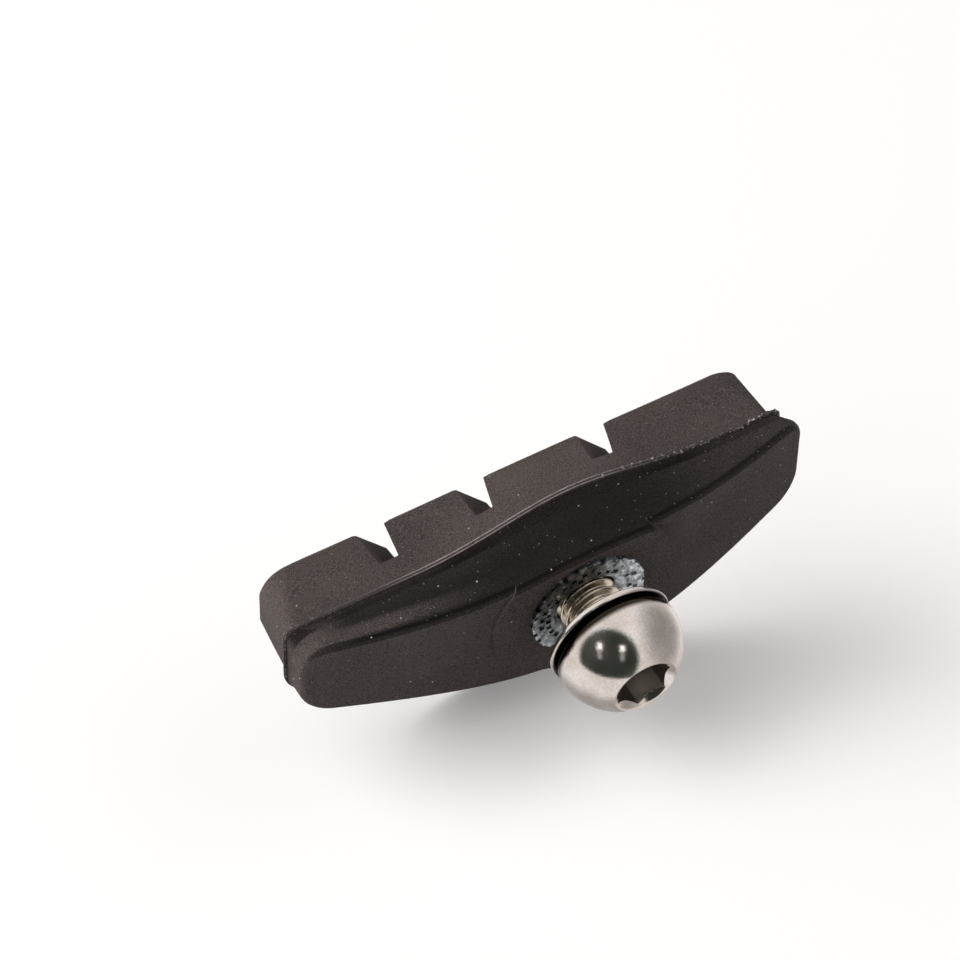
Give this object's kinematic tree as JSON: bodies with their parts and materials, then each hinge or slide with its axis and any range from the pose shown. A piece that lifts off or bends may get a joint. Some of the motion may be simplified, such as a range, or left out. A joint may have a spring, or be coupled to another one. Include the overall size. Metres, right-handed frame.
{
  "type": "bicycle rim brake pad",
  "caption": "Moulded rubber rim brake block with chevron grooves and an arched rim guide, a steel threaded insert in its back, and a domed socket bolt with washer that clamps it to the brake arm.",
  "frame": {"origin": "on the bolt's axis, on the mounting face of the serrated collar", "axes": "+X along the block, +Y towards the rim (normal of the friction face), +Z towards the tyre"},
  "size_m": [0.0543, 0.0241, 0.0264],
  "materials": {
    "rubber": "matte moulded black with a fine grain",
    "zinc_steel": "bluish zinc plating",
    "bright_steel": "polished"
  },
  "bodies": {
    "root": {"brake_block": "rubber", "threaded_insert": "zinc_steel", "flat_washer": "bright_steel", "pad_bolt": "bright_steel"}
  },
  "joints": []
}
